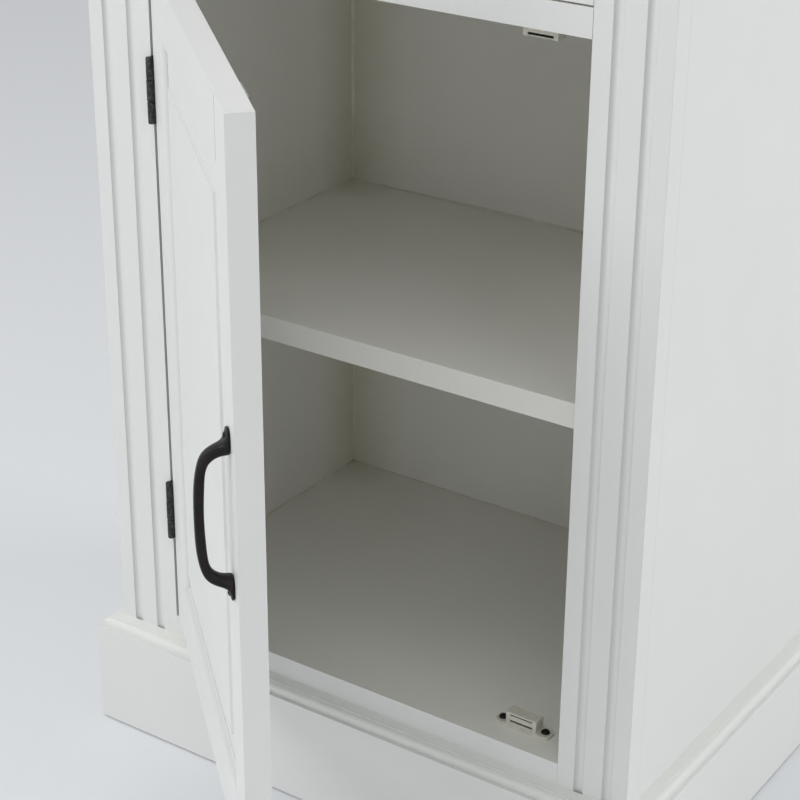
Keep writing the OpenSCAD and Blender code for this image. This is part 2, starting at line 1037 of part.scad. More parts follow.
module pull() {
    difference() {
        union() {
            arch_arc(arch_mid_r - pull_out, 0, arch_mid_r, -arch_turn, arch_turn);
            arch_arc(-root_l, arch_end_z, arch_end_r, arch_turn, 90);
            arch_arc(-root_l, -arch_end_z, arch_end_r, -90, -arch_turn);
            for (s = [-1, 1]) {
                translate([0, arch_joint_y, s * arch_joint_z])
                    sphere(r = bar_t / 2 + arch_bead);
                translate([0, 0, s * (arch_half - bar_t / 2)])
                    root();
            }
            foot();
            mirror([0, 0, 1]) foot();
        }
        pull_screw_places() round_hole(pull_screw_l);
    }
}

module door_pull() {
    color(iron)
    swung()
        translate([door_pull_x, 0, door_pull_z]) pull();
}

module door_pull_screws() {
    color(iron)
    swung()
        translate([door_pull_x, 0, door_pull_z])
            pull_screw_places() round_screw(pull_screw_l);
}

// Strike plates on the back of the door, each held by one screw

module strike_places() {
    for (p = [[catch_low_x, base_h + strike_z], [catch_top_x, door_open_top - strike_z]])
        translate([p[0], door_t + strike_t, p[1]])
            rotate([-90, 0, 0]) children();
}

module strike_plates() {
    color(steel)
    swung()
        difference() {
            strike_places()
                translate([-strike_l / 2, -strike_h / 2, -strike_t])
                    cube([strike_l, strike_h, strike_t]);
            strike_places()
                csk_hole(small_screw_l);
        }
}

module strike_screws() {
    color(steel)
    swung()
        strike_places() csk_screw(small_screw_l);
}

// Drawers: drawn with the lower edge of the front and sides at z = 0

module drawer_front() {
    difference() {
        board([-drawer_w, drawer_w], [0, frame_t], [0, drawer_open_h - 2 * drawer_gap_z]);
        board([-drawer_in - drawer_groove, drawer_in + drawer_groove], [frame_t - drawer_groove, frame_t + past],
              [drawer_bottom_z, drawer_bottom_z + drawer_bottom_t]);
        translate([0, 0, drawer_pull_z])
            rotate([0, 90, 0])
                pull_screw_places() round_hole(pull_screw_l);
    }
}

module drawer_side() {
    difference() {
        board([drawer_in, drawer_w], [frame_t, drawer_back_y], [0, drawer_side_h]);
        board([drawer_in - past, drawer_in + drawer_groove], [frame_t - past, drawer_back_y + past],
              [drawer_bottom_z, drawer_bottom_z + drawer_bottom_t]);
    }
}

module drawer_back() {
    board([-drawer_in, drawer_in], [drawer_back_y - drawer_side_t, drawer_back_y],
          [drawer_bottom_z + drawer_bottom_t, drawer_side_h]);
}

module drawer_bottom() {
    edge = drawer_in + drawer_groove;
    board([-edge, edge], [frame_t - drawer_groove, drawer_back_y],
          [drawer_bottom_z, drawer_bottom_z + drawer_bottom_t]);
}

module drawer_pull() {
    translate([0, 0, drawer_pull_z]) rotate([0, 90, 0]) pull();
}

module drawer_pull_screws() {
    translate([0, 0, drawer_pull_z])
        rotate([0, 90, 0])
            pull_screw_places() round_screw(pull_screw_l);
}

module at_drawer(i, tint) {
    color(tint)
    translate([0, 0, drawer_edges[i]]) children();
}

module lower_drawer_front() {
    at_drawer(0, paint) drawer_front();
}

module lower_drawer_left_side() {
    at_drawer(0, pine) mirror([1, 0, 0]) drawer_side();
}

module lower_drawer_right_side() {
    at_drawer(0, pine) drawer_side();
}

module lower_drawer_back() {
    at_drawer(0, pine) drawer_back();
}

module lower_drawer_bottom() {
    at_drawer(0, pine) drawer_bottom();
}

module lower_drawer_pull() {
    at_drawer(0, iron) drawer_pull();
}

module lower_drawer_pull_screws() {
    at_drawer(0, iron) drawer_pull_screws();
}

module upper_drawer_front() {
    at_drawer(1, paint) drawer_front();
}

module upper_drawer_left_side() {
    at_drawer(1, pine) mirror([1, 0, 0]) drawer_side();
}

module upper_drawer_right_side() {
    at_drawer(1, pine) drawer_side();
}

module upper_drawer_back() {
    at_drawer(1, pine) drawer_back();
}

module upper_drawer_bottom() {
    at_drawer(1, pine) drawer_bottom();
}

module upper_drawer_pull() {
    at_drawer(1, iron) drawer_pull();
}

module upper_drawer_pull_screws() {
    at_drawer(1, iron) drawer_pull_screws();
}

left_side();
right_side();
back_panel();
bottom_panel();
shelf();
divider_panel();
left_stile();
right_stile();
bottom_rail();
middle_rail();
drawer_rail();
top_rail();
top_board();
top_moulding();
front_plinth();
left_plinth();
right_plinth();
base_moulding();
rear_base_rail();
wall_rail();
glue_blocks();
drawer_guides();
drawer_runners();
drawer_kickers();
drawer_stops();
lower_catch_body();
upper_catch_body();
catch_poles();
catch_screws();
upper_hinge_frame_leaf();
lower_hinge_frame_leaf();
hinge_pins();
hinge_frame_screws();
door_hinge_stile();
door_lock_stile();
door_top_rail();
door_bottom_rail();
door_panel();
upper_hinge_door_leaf();
lower_hinge_door_leaf();
hinge_door_screws();
door_pull();
door_pull_screws();
strike_plates();
strike_screws();
lower_drawer_front();
lower_drawer_left_side();
lower_drawer_right_side();
lower_drawer_back();
lower_drawer_bottom();
lower_drawer_pull();
lower_drawer_pull_screws();
upper_drawer_front();
upper_drawer_left_side();
upper_drawer_right_side();
upper_drawer_back();
upper_drawer_bottom();
upper_drawer_pull();
upper_drawer_pull_screws();
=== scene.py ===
import bpy
import bmesh
import json
import math
import random
from mathutils import Matrix, Vector


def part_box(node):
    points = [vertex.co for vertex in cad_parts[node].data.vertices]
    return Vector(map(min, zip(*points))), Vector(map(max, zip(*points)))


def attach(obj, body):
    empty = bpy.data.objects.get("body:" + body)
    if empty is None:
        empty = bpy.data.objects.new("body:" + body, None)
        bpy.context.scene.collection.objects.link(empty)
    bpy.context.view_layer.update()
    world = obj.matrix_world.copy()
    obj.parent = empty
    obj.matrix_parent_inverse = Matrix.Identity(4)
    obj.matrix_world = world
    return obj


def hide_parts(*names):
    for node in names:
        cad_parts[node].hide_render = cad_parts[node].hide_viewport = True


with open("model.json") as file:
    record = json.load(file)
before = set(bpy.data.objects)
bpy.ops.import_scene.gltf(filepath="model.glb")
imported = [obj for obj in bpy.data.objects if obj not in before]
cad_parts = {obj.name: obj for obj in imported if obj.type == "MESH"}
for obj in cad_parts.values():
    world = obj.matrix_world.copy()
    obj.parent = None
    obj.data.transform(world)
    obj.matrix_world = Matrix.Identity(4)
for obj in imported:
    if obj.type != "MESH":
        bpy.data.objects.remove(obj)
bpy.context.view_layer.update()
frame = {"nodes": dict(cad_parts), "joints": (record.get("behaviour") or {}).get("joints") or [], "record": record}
nodes = frame["nodes"]
scene = bpy.context.scene
random.seed(7)
mm = 0.001
unmoved = Matrix.Identity(4)
print("frame loaded,", len(nodes), "nodes")


# camera, at the place the photo was taken from
cameraSet = {
    "place": (0.8663, -1.2133, 1.1131),
    "pan": 34.154,     # degrees to the left of straight ahead
    "tilt": 25.504,    # degrees down
    "roll": 0.426,
    "lens": 92.62,     # mm on a 36 mm sensor
}


def makeCamera():
    data = bpy.data.cameras.new("camera")
    data.sensor_width = 36
    data.lens = cameraSet["lens"]
    data.clip_start = 0.05
    camera = bpy.data.objects.new("camera", data)
    scene.collection.objects.link(camera)
    turn = Matrix.Rotation(math.radians(cameraSet["pan"]), 4, "Z")
    turn = turn @ Matrix.Rotation(math.radians(90 - cameraSet["tilt"]), 4, "X")
    turn = turn @ Matrix.Rotation(math.radians(cameraSet["roll"]), 4, "Z")
    camera.matrix_world = Matrix.Translation(cameraSet["place"]) @ turn
    scene.camera = camera


makeCamera()
print("camera done")


# small helpers for the material trees

def newMaterial(name):
    mat = bpy.data.materials.new(name)
    mat.use_nodes = True
    tree = mat.node_tree
    return mat, tree, tree.nodes["Principled BSDF"]


def noiseNode(tree, coords, scale, detail=4.0, rough=0.5, stretch=(1, 1, 1)):
    mapping = tree.nodes.new("ShaderNodeMapping")
    mapping.inputs["Scale"].default_value = stretch
    tree.links.new(coords, mapping.inputs["Vector"])
    noise = tree.nodes.new("ShaderNodeTexNoise")
    noise.inputs["Scale"].default_value = scale
    noise.inputs["Detail"].default_value = detail
    noise.inputs["Roughness"].default_value = rough
    tree.links.new(mapping.outputs["Vector"], noise.inputs["Vector"])
    return noise.outputs["Fac"]


def rampNode(tree, factor, stops):
    ramp = tree.nodes.new("ShaderNodeValToRGB")
    while len(ramp.color_ramp.elements) < len(stops):
        ramp.color_ramp.elements.new(0.5)
    for element, (place, colour) in zip(ramp.color_ramp.elements, stops):
        element.position = place
        element.color = (*colour, 1)
    tree.links.new(factor, ramp.inputs["Fac"])
    return ramp.outputs["Color"]


def rangeNode(tree, value, low, high, fromLow=0.0, fromHigh=1.0):
    node = tree.nodes.new("ShaderNodeMapRange")
    node.inputs["From Min"].default_value = fromLow
    node.inputs["From Max"].default_value = fromHigh
    node.inputs["To Min"].default_value = low
    node.inputs["To Max"].default_value = high
    tree.links.new(value, node.inputs["Value"])
    return node.outputs["Result"]


def mathNode(tree, kind, first, second=None):
    node = tree.nodes.new("ShaderNodeMath")
    node.operation = kind
    for socket, value in zip(node.inputs, (first, second)):
        if value is None:
            continue
        if isinstance(value, (int, float)):
            socket.default_value = value
        else:
            tree.links.new(value, socket)
    return node.outputs[0]


def mixNode(tree, factor, first, second):
    node = tree.nodes.new("ShaderNodeMix")
    node.data_type = "RGBA"
    tree.links.new(factor, node.inputs["Factor"])
    for socket, value in (("A", first), ("B", second)):
        target = [s for s in node.inputs if s.name == socket and s.type == "RGBA"][0]
        if isinstance(value, tuple):
            target.default_value = (*value, 1)
        else:
            tree.links.new(value, target)
    return [s for s in node.outputs if s.type == "RGBA"][0]


def bumpNode(tree, height, strength, distance, before=None):
    node = tree.nodes.new("ShaderNodeBump")
    node.inputs["Strength"].default_value = strength
    node.inputs["Distance"].default_value = distance
    tree.links.new(height, node.inputs["Height"])
    if before is not None:
        tree.links.new(before, node.inputs["Normal"])
    return node.outputs["Normal"]


def objectCoords(tree):
    return tree.nodes.new("ShaderNodeTexCoord").outputs["Object"]


# where the inside of the case ends, for the paint and the filler
leftLow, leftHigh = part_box("left_side")
rightLow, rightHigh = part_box("right_side")
backLow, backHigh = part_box("back_panel")
innerLeft = leftHigh[0]
innerRight = rightLow[0]
innerBack = backLow[1]


# paint: sprayed white over wood, a little cloudy, with a faint grain under it
paintSet = {
    "outer": (0.790, 0.796, 0.784),
    "outerLow": (0.768, 0.774, 0.762),
    # painted light: the two inside tones are a lighter, yellower copy of the outer white, standing in for the
    # light inside the case
    "inner": (0.876, 0.871, 0.820),
    "innerLow": (0.854, 0.848, 0.790),
    "cornerTone": (0.680, 0.665, 0.520),    # darker and yellower towards the back corners
    "cornerReach": 0.060,
    "cornerStrength": 0.75,
    "cornerScale": 30.0,
    "ledgePaintedShade": 0.16,    # shade painted on the door's upward slopes, as a share; 0 leaves it out
    "flutePaintedShade": 0.20,    # shade painted on the flutes' slopes that look to the right; 0 leaves it out
    "slope": (0.05, 0.75),    # how squarely a face looks along the axis where that shade starts and is full
    "square": 0.98,           # faces that look more squarely along it than this have none
    # painted light: this tint makes the base moulding's paint lighter and greener
    "capPaintedLight": (1.02, 1.03, 1.0),
    "roughness": (0.38, 0.52),
    "specular": 0.40,
    "cloudScale": 6.0,
    "smearScale": 18.0,
    "streakScale": 42.0,
    "streakStretch": (14, 14, 1),
    "peelScale": 900.0,
}


def paintTone(tree, coords, high, low):
    cloud = noiseNode(tree, coords, paintSet["cloudScale"], 5.0, 0.6)
    return rampNode(tree, cloud, [(0.32, low), (0.68, high)])


def finishPaint(tree, shader, coords, tone):
    tree.links.new(tone, shader.inputs["Base Color"])
    smear = noiseNode(tree, coords, paintSet["smearScale"], 3.0, 0.5)
    shine = rangeNode(tree, smear, *paintSet["roughness"], 0.3, 0.7)
    tree.links.new(shine, shader.inputs["Roughness"])
    streak = noiseNode(tree, coords, paintSet["streakScale"], 3.0, 0.6, paintSet["streakStretch"])
    peel = noiseNode(tree, coords, paintSet["peelScale"], 2.0, 0.5)
    normal = bumpNode(tree, streak, 0.10, 0.0004)
    normal = bumpNode(tree, peel, 0.10, 0.00015, normal)
    tree.links.new(normal, shader.inputs["Normal"])
    shader.inputs["Specular IOR Level"].default_value = paintSet["specular"]


# a tint multiplies the tone; on slanting faces that look along one axis (0 right, 2 up) a painted shade darkens
# the tone by a share
def makeOuterPaint(name, tint=(1, 1, 1), paintedShade=0.0, axis=2):
    mat, tree, shader = newMaterial(name)
    coords = objectCoords(tree)
    high = tuple(a * b for a, b in zip(paintSet["outer"], tint))
    low = tuple(a * b for a, b in zip(paintSet["outerLow"], tint))
    tone = paintTone(tree, coords, high, low)
    if paintedShade:
        facing = tree.nodes.new("ShaderNodeSeparateXYZ")
        tree.links.new(tree.nodes.new("ShaderNodeNewGeometry").outputs["True Normal"], facing.inputs[0])
        along = rangeNode(tree, facing.outputs[axis], 0.0, 1.0, *paintSet["slope"])
        slanting = mathNode(tree, "LESS_THAN", facing.outputs[axis], paintSet["square"])
        shadedSlope = mathNode(tree, "MULTIPLY", along, slanting)
        tone = mixNode(tree, shadedSlope, tone, tuple(value * (1 - paintedShade) for value in high))
    finishPaint(tree, shader, coords, tone)
    return mat


# inside, the paint turns yellowish towards the back corners; insideOnly keeps the outer faces cool
def makeInnerPaint(name, insideOnly):
    mat, tree, shader = newMaterial(name)
    coords = objectCoords(tree)
    split = tree.nodes.new("ShaderNodeSeparateXYZ")
    tree.links.new(coords, split.inputs[0])
    tone = paintTone(tree, coords, paintSet["inner"], paintSet["innerLow"])
    fromLeft = mathNode(tree, "SUBTRACT", split.outputs[0], innerLeft)
    fromRight = mathNode(tree, "SUBTRACT", innerRight, split.outputs[0])
    toSide = mathNode(tree, "MINIMUM", fromLeft, mathNode(tree, "ADD", fromRight, 0.02))
    toBack = mathNode(tree, "SUBTRACT", innerBack, split.outputs[1])
    across = mathNode(tree, "MULTIPLY", toSide, toSide)
    along = mathNode(tree, "MULTIPLY", toBack, toBack)
    reach = mathNode(tree, "SQRT", mathNode(tree, "ADD", across, along))
    cloud = noiseNode(tree, coords, paintSet["cornerScale"], 4.0, 0.6)
    wobble = rangeNode(tree, cloud, -0.02, 0.02)
    far = mathNode(tree, "ADD", reach, wobble)
    near = rangeNode(tree, far, paintSet["cornerStrength"], 0.0, 0.0, paintSet["cornerReach"])
    tone = mixNode(tree, near, tone, paintSet["cornerTone"])
    if insideOnly:
        aside = mathNode(tree, "ABSOLUTE", split.outputs[0])
        outside = mathNode(tree, "GREATER_THAN", aside, innerRight + 0.5 * mm)
        ahead = mathNode(tree, "LESS_THAN", split.outputs[1], 0.3 * mm)
        behind = mathNode(tree, "GREATER_THAN", split.outputs[1], innerBack + 0.5 * mm)
        outside = mathNode(tree, "MAXIMUM", outside, mathNode(tree, "MAXIMUM", ahead, behind))
        cool = paintTone(tree, coords, paintSet["outer"], paintSet["outerLow"])
        tone = mixNode(tree, outside, tone, cool)
    finishPaint(tree, shader, coords, tone)
    return mat


pineSet = {
    "light": (0.66, 0.47, 0.27),
    "dark": (0.47, 0.29, 0.14),
    "roughness": (0.55, 0.75),
    "grainScale": 9.0,
    "grainStretch": (1.2, 1.6, 22),
    "wanderScale": 2.0,
}


def makePine():
    mat, tree, shader = newMaterial("barePine")
    coords = objectCoords(tree)
    wander = noiseNode(tree, coords, pineSet["wanderScale"], 3.0, 0.5)
    grain = noiseNode(tree, coords, pineSet["grainScale"], 6.0, 0.62, pineSet["grainStretch"])
    tone = rampNode(tree, grain, [(0.34, pineSet["dark"]), (0.62, pineSet["light"])])
    tint = mixNode(tree, rangeNode(tree, wander, 0.0, 0.35), tone, pineSet["light"])
    tree.links.new(tint, shader.inputs["Base Color"])
    tree.links.new(rangeNode(tree, grain, *pineSet["roughness"]), shader.inputs["Roughness"])
    tree.links.new(bumpNode(tree, grain, 0.25, 0.0003), shader.inputs["Normal"])
    return mat


# forged iron of the pulls, brown-black with rubbed spots; the hinges are bluer and blotchy
ironSet = {
    "pull": {"base": (0.0045, 0.0036, 0.0030), "rub": (0.016, 0.012, 0.010), "blotch": 70.0,
             "roughness": (0.26, 0.42), "hammer": 160.0, "depth": 0.0005, "specular": 0.22},
    "hinge": {"base": (0.012, 0.014, 0.014), "rub": (0.100, 0.110, 0.108), "blotch": 330.0,
              "roughness": (0.36, 0.60), "hammer": 420.0, "depth": 0.0004, "specular": 0.30},
    "screw": {"base": (0.0060, 0.0055, 0.0038), "rub": (0.030, 0.028, 0.018), "blotch": 300.0,
              "roughness": (0.45, 0.60), "hammer": 600.0, "depth": 0.0002, "specular": 0.15},
    "gritScale": 1400.0,
}


def makeIron(name, look):
    mat, tree, shader = newMaterial(name)
    coords = objectCoords(tree)
    rub = noiseNode(tree, coords, look["blotch"], 5.0, 0.65)
    tone = rampNode(tree, rub, [(0.45, look["base"]), (0.78, look["rub"])])
    tree.links.new(tone, shader.inputs["Base Color"])
    shine = rangeNode(tree, rub, *look["roughness"], 0.3, 0.7)
    tree.links.new(shine, shader.inputs["Roughness"])
    hammer = noiseNode(tree, coords, look["hammer"], 2.0, 0.5)
    grit = noiseNode(tree, coords, ironSet["gritScale"], 2.0, 0.5)
    normal = bumpNode(tree, hammer, 0.35, look["depth"])
    normal = bumpNode(tree, grit, 0.15, 0.0001, normal)
    tree.links.new(normal, shader.inputs["Normal"])
    shader.inputs["Specular IOR Level"].default_value = look["specular"]
    return mat


steelSet = {
    "strike": {"base": (0.50, 0.50, 0.48), "dull": (0.34, 0.34, 0.32)},
    # painted shade: the catch poles' steel is near-black, standing in for the shade in the catch slots
    "poles": {"base": (0.030, 0.029, 0.026), "dull": (0.014, 0.013, 0.012)},
    "roughness": (0.30, 0.48),
    "cloudScale": 220.0,
}


def makeSteel(name, look):
    mat, tree, shader = newMaterial(name)
    coords = objectCoords(tree)
    cloud = noiseNode(tree, coords, steelSet["cloudScale"], 4.0, 0.6)
    tone = rampNode(tree, cloud, [(0.35, look["dull"]), (0.65, look["base"])])
    tree.links.new(tone, shader.inputs["Base Color"])
    tree.links.new(rangeNode(tree, cloud, *steelSet["roughness"]), shader.inputs["Roughness"])
    tree.links.new(bumpNode(tree, cloud, 0.08, 0.0001), shader.inputs["Normal"])
    shader.inputs["Metallic"].default_value = 1.0
    return mat


plasticSet = {
    "base": (0.70, 0.69, 0.61),
    "dust": (0.60, 0.59, 0.50),
    "roughness": (0.42, 0.60),
    "cloudScale": 160.0,
    "grainScale": 2500.0,
}


def makePlastic():
    mat, tree, shader = newMaterial("catchPlastic")
    coords = objectCoords(tree)
    cloud = noiseNode(tree, coords, plasticSet["cloudScale"], 4.0, 0.6)
    tone = rampNode(tree, cloud, [(0.3, plasticSet["dust"]), (0.6, plasticSet["base"])])
    tree.links.new(tone, shader.inputs["Base Color"])
    tree.links.new(rangeNode(tree, cloud, *plasticSet["roughness"]), shader.inputs["Roughness"])
    grain = noiseNode(tree, coords, plasticSet["grainScale"], 2.0, 0.5)
    tree.links.new(bumpNode(tree, grain, 0.10, 0.0001), shader.inputs["Normal"])
    return mat


outerPaint = makeOuterPaint("outerPaint")
# painted shade on the door's upward slopes and on the stiles' flute slopes that look to the right
doorPaint = makeOuterPaint("doorPaint", (1, 1, 1), paintSet["ledgePaintedShade"])
stilePaint = makeOuterPaint("stilePaint", (1, 1, 1), paintSet["flutePaintedShade"], 0)
# the base moulding's paint carries painted light: lighter and greener than the rest
capLitPaint = makeOuterPaint("capLitPaint", paintSet["capPaintedLight"])
innerPaint = makeInnerPaint("innerPaint", False)
sidePaint = makeInnerPaint("sidePaint", True)
barePine = makePine()
pullIron = makeIron("pullIron", ironSet["pull"])
hingeIron = makeIron("hingeIron", ironSet["hinge"])
screwIron = makeIron("screwIron", ironSet["screw"])
strikeSteel = makeSteel("strikeSteel", steelSet["strike"])
shadedPoleSteel = makeSteel("shadedPoleSteel", steelSet["poles"])
catchPlastic = makePlastic()
slotLook = {
    "painted_wood": outerPaint,
    "bare_pine": barePine,
    "black_iron": pullIron,
    "bright_steel": strikeSteel,
    "catch_plastic": catchPlastic,
}
nodeLook = {
    "back_panel": sidePaint,
    "bottom_panel": innerPaint,
    "shelf": innerPaint,
    "divider_panel": innerPaint,
    "left_side": sidePaint,
    "right_side": sidePaint,
    "bottom_rail": sidePaint,
    "middle_rail": sidePaint,
    "left_stile": stilePaint,
    "right_stile": stilePaint,
    "door_bottom_rail": doorPaint,
    "door_top_rail": doorPaint,
    "door_panel": doorPaint,
    "base_moulding": capLitPaint,
    "catch_poles": shadedPoleSteel,
    "catch_screws": screwIron,
    "upper_hinge_frame_leaf": hingeIron,
    "lower_hinge_frame_leaf": hingeIron,
    "upper_hinge_door_leaf": hingeIron,
    "lower_hinge_door_leaf": hingeIron,
    "hinge_pins": hingeIron,
}
print("materials done")


# each CAD node takes its own finish or that of its slot, and softened edges

edgeSet = {
    "width": {
        "painted_wood": 0.8 * mm,
        "bare_pine": 0.8 * mm,
        "black_iron": 0.15 * mm,
        "bright_steel": 0.15 * mm,
        "catch_plastic": 0.3 * mm,
    },
    "jointed": 0.3 * mm,       # members that meet flush, so the joint stays a hairline
    "member": 0.6 * mm,        # the door's members, whose joints show a little more
    "edgeAngle": 14,           # above the facets of the curves
    "panelAngle": 4,           # the door panel's fielding is shallower
    "segments": 2,
    "weldWithin": 1e-6,        # metres
}
jointedNodes = [
    "left_stile", "right_stile", "bottom_rail", "middle_rail", "drawer_rail", "top_rail",
    "left_side", "right_side", "front_plinth", "left_plinth", "right_plinth",
]
memberNodes = ["door_hinge_stile", "door_lock_stile", "door_top_rail", "door_bottom_rail"]


def edgeWidth(name, slotName):
    if name in jointedNodes:
        return edgeSet["jointed"]
    if name in memberNodes:
        return edgeSet["member"]
    return edgeSet["width"][slotName]


def soften(obj, width, angle):
    weld = obj.modifiers.new("weld", "WELD")
    weld.merge_threshold = edgeSet["weldWithin"]
    if width:
        bevel = obj.modifiers.new("softEdges", "BEVEL")
        bevel.width = width
        bevel.segments = edgeSet["segments"]
        bevel.limit_method = "ANGLE"
        bevel.angle_limit = math.radians(angle)
    normals = obj.modifiers.new("flatFaces", "WEIGHTED_NORMAL")
    normals.mode = "FACE_AREA"
    normals.weight = 50
    normals.keep_sharp = False


def dressNode(name, slotName):
    obj = nodes[name]
    obj.data.materials.clear()
    obj.data.materials.append(nodeLook.get(name, slotLook[slotName]))
    width = 0 if name == "back_panel" else edgeWidth(name, slotName)    # the back's edges stay sharp
    soften(obj, width, edgeSet["panelAngle"] if name == "door_panel" else edgeSet["edgeAngle"])


for part in frame["record"]["subparts"]:
    dressNode(part["node"], part["material_slot"])
print("nodes dressed")


# pieces made here

def addPiece(name, verts, faces, mat, place, body, slotName, *hidden):
    mesh = bpy.data.meshes.new(name)
    mesh.from_pydata(verts, [], faces)
    shape = bmesh.new()
    shape.from_mesh(mesh)
    bmesh.ops.recalc_face_normals(shape, faces=shape.faces)
    shape.transform(place)
    if place.determinant() < 0:
        bmesh.ops.reverse_faces(shape, faces=shape.faces)
    for face in shape.faces:
        face.smooth = True
    shape.to_mesh(mesh)
    shape.free()
    mesh.materials.append(mat)
    obj = bpy.data.objects.new(name, mesh)
    scene.collection.objects.link(obj)
    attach(obj, body)
    if hidden:
        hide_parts(*hidden)
    return obj


# rings of equal length become a closed skin
def skinRings(rings):
    count = len(rings[0])
    verts = [point for ring in rings for point in ring]
    faces = []
    for i in range(len(rings) - 1):
        for j in range(count):
            k = (j + 1) % count
            faces.append((i * count + j, i * count + k, (i + 1) * count + k, (i + 1) * count + j))
    faces.append(tuple(range(count)))
    faces.append(tuple((len(rings) - 1) * count + j for j in range(count)))
    return verts, faces


def joinSkins(skins):
    verts = []
    faces = []
    for ownVerts, ownFaces in skins:
        start = len(verts)
        verts += ownVerts
        faces += [tuple(start + i for i in face) for face in ownFaces]
    return verts, faces


def roundPower(value, power):
    return math.copysign(abs(value) ** power, value)


doorHinge = [joint for joint in frame["joints"] if joint["name"] == "door_hinge"][0]


# the door is modelled open: this turns a place on the closed door to where it stands
def doorTurn():
    pin = Vector(doorHinge["pos_m"])
    opened = math.radians(-doorHinge["range_deg"][0])
    turn = Matrix.Rotation(opened, 4, Vector(doorHinge["axis"]))
    return Matrix.Translation(pin) @ turn @ Matrix.Translation(-pin)


doorOpen = doorTurn()


# points and box of a node of the door, as the door hangs closed
def closedPoints(name):
    back = doorOpen.inverted()
    return [back @ vert.co for vert in nodes[name].data.vertices]


def closedBox(name):
    points = closedPoints(name)
    low = [min(p[i] for p in points) for i in range(3)]
    high = [max(p[i] for p in points) for i in range(3)]
    return low, high


# forged pulls: half an outline from the middle to the tip of the foot, in mm
pullSet = {
    # (outer out, outer along, inner out, inner along, half width)
    "stations": [
        (26.3, 0, 19.1, 0, 3.9),
        (26.1, 14, 18.7, 14, 3.9),
        (25.6, 25, 18.0, 25, 3.9),
        (24.3, 34.5, 17.4, 33.5, 4.0),
        (22.4, 43, 15.7, 39.6, 4.0),
        (19.6, 48.6, 13.4, 42.4, 4.2),
        (16.0, 51.9, 10.9, 44.4, 4.5),
        (12.2, 54.0, 8.4, 45.7, 4.9),
        (9.2, 55.2, 5.4, 46.6, 5.5),
        (7.0, 56.1, 2.4, 47.1, 6.4),
        (5.5, 57.2, 0.3, 47.5, 7.2),
        (4.8, 58.2, 0.0, 48.6, 7.4),
        (3.9, 59.8, 0.0, 54.0, 7.5),
        (3.2, 61.6, 0.0, 58.5, 7.4),
        (2.9, 63.6, 0.0, 62.5, 6.7),
        (2.6, 65.4, 0.0, 65.1, 5.0),
        (1.9, 66.8, 0.3, 66.8, 2.6),
    ],
    "sides": 20,
    "squareness": 0.72,    # 1 is a plain oval
}


def pullRing(outer, inner, halfWidth):
    middle = (outer + inner) / 2
    radial = (outer - inner) / 2
    ring = []
    for i in range(pullSet["sides"]):
        angle = 2 * math.pi * i / pullSet["sides"]
        rise = roundPower(math.cos(angle), pullSet["squareness"])
        aside = roundPower(math.sin(angle), pullSet["squareness"])
        ring.append(middle + radial * rise + Vector((halfWidth * aside, 0, 0)))
    return ring


def makePull(name, place, body, node):
    rings = []
    half = pullSet["stations"]
    for sign, stations in ((-1, half[:0:-1]), (1, half)):
        for outerOut, outerAlong, innerOut, innerAlong, halfWidth in stations:
            outer = Vector((0, -outerOut, sign * outerAlong)) * mm
            inner = Vector((0, -innerOut, sign * innerAlong)) * mm
            rings.append(pullRing(outer, inner, halfWidth * mm))
    verts, faces = skinRings(rings)
    pull = addPiece(name, verts, faces, pullIron, place, body, "black_iron", node)
    smooth = pull.modifiers.new("forged", "SUBSURF")
    smooth.levels = 2
    smooth.render_levels = 2


def middleOf(low, high):
    return [(a + b) / 2 for a, b in zip(low, high)]


pullLow, pullHigh = closedBox("door_pull")
pullMiddle = middleOf(pullLow, pullHigh)
doorPullPlace = doorOpen @ Matrix.Translation((pullMiddle[0], 0, pullMiddle[2]))
makePull("door_pull_forging", doorPullPlace, "door", "door_pull")
for drawer in ("lower_drawer", "upper_drawer"):
    pullMiddle = middleOf(*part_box(drawer + "_pull"))
    level = Matrix.Translation((pullMiddle[0], 0, pullMiddle[2])) @ Matrix.Rotation(math.pi / 2, 4, "Y")
    makePull(drawer + "_pull_forging", level, drawer, drawer + "_pull")
print("pulls done")


# magnetic catches: standing on z = 0, front at y = 0, in mm
catchSet = {
    "halfSlot": 10.8,
    "halfBody": 14.5,
    "depth": 12.2,
    "height": 13.6,
    "fromFront": 1.4,      # behind the front of the CAD body's box
    "foot": 0.5,           # where the body starts, inside the flange
    "frontRound": 1.9,
    "slotOverlap": 0.2,    # of the slotted middle into each end wall
    "sunk": 0.45,          # the slotted middle lies behind and below the end walls
    "slots": {
        "lower_catch_moulding": [(5.5, 1.9), (11.2, 1.2)],    # (height of the middle, thickness)
        "upper_catch_moulding": [(5.5, 1.3), (11.0, 1.8)],
    },
    "slotDepth": 10.5,
    "flangeLength": 53,
    "flangeWidth": 15,
    "flangeSteps": [(0, 0), (1.7, 0), (2.3, 0.35), (2.5, 0.9)],   # (height, drawn in)
    "flangeSides": 32,       # to each rounded end
    "endSquareness": 0.6,    # of the flange's ends; 1 is round
    "edge": 0.35,
    "edgeAngle": 30,
}


def extrudeAcross(profile, x0, x1):
    return skinRings([[Vector((x, y, z)) * mm for y, z in profile] for x in (x0, x1)])


def slottedProfile(slots):
    top = catchSet["height"] - catchSet["sunk"]
    front = catchSet["sunk"]
    foot = catchSet["foot"]
    profile = [(front, foot)]
    for z, thickness in slots:
        half = thickness / 2
        profile += [(front, z - half), (catchSet["slotDepth"], z - half)]
        profile += [(catchSet["slotDepth"], z + half), (front, z + half)]
    profile += [(front, top - 0.9), (front + 0.9, top)]
    profile += [(catchSet["depth"] - 1.2, top), (catchSet["depth"] - 0.3, top - 0.8)]
    profile += [(catchSet["depth"] - 0.3, foot)]
    return profile


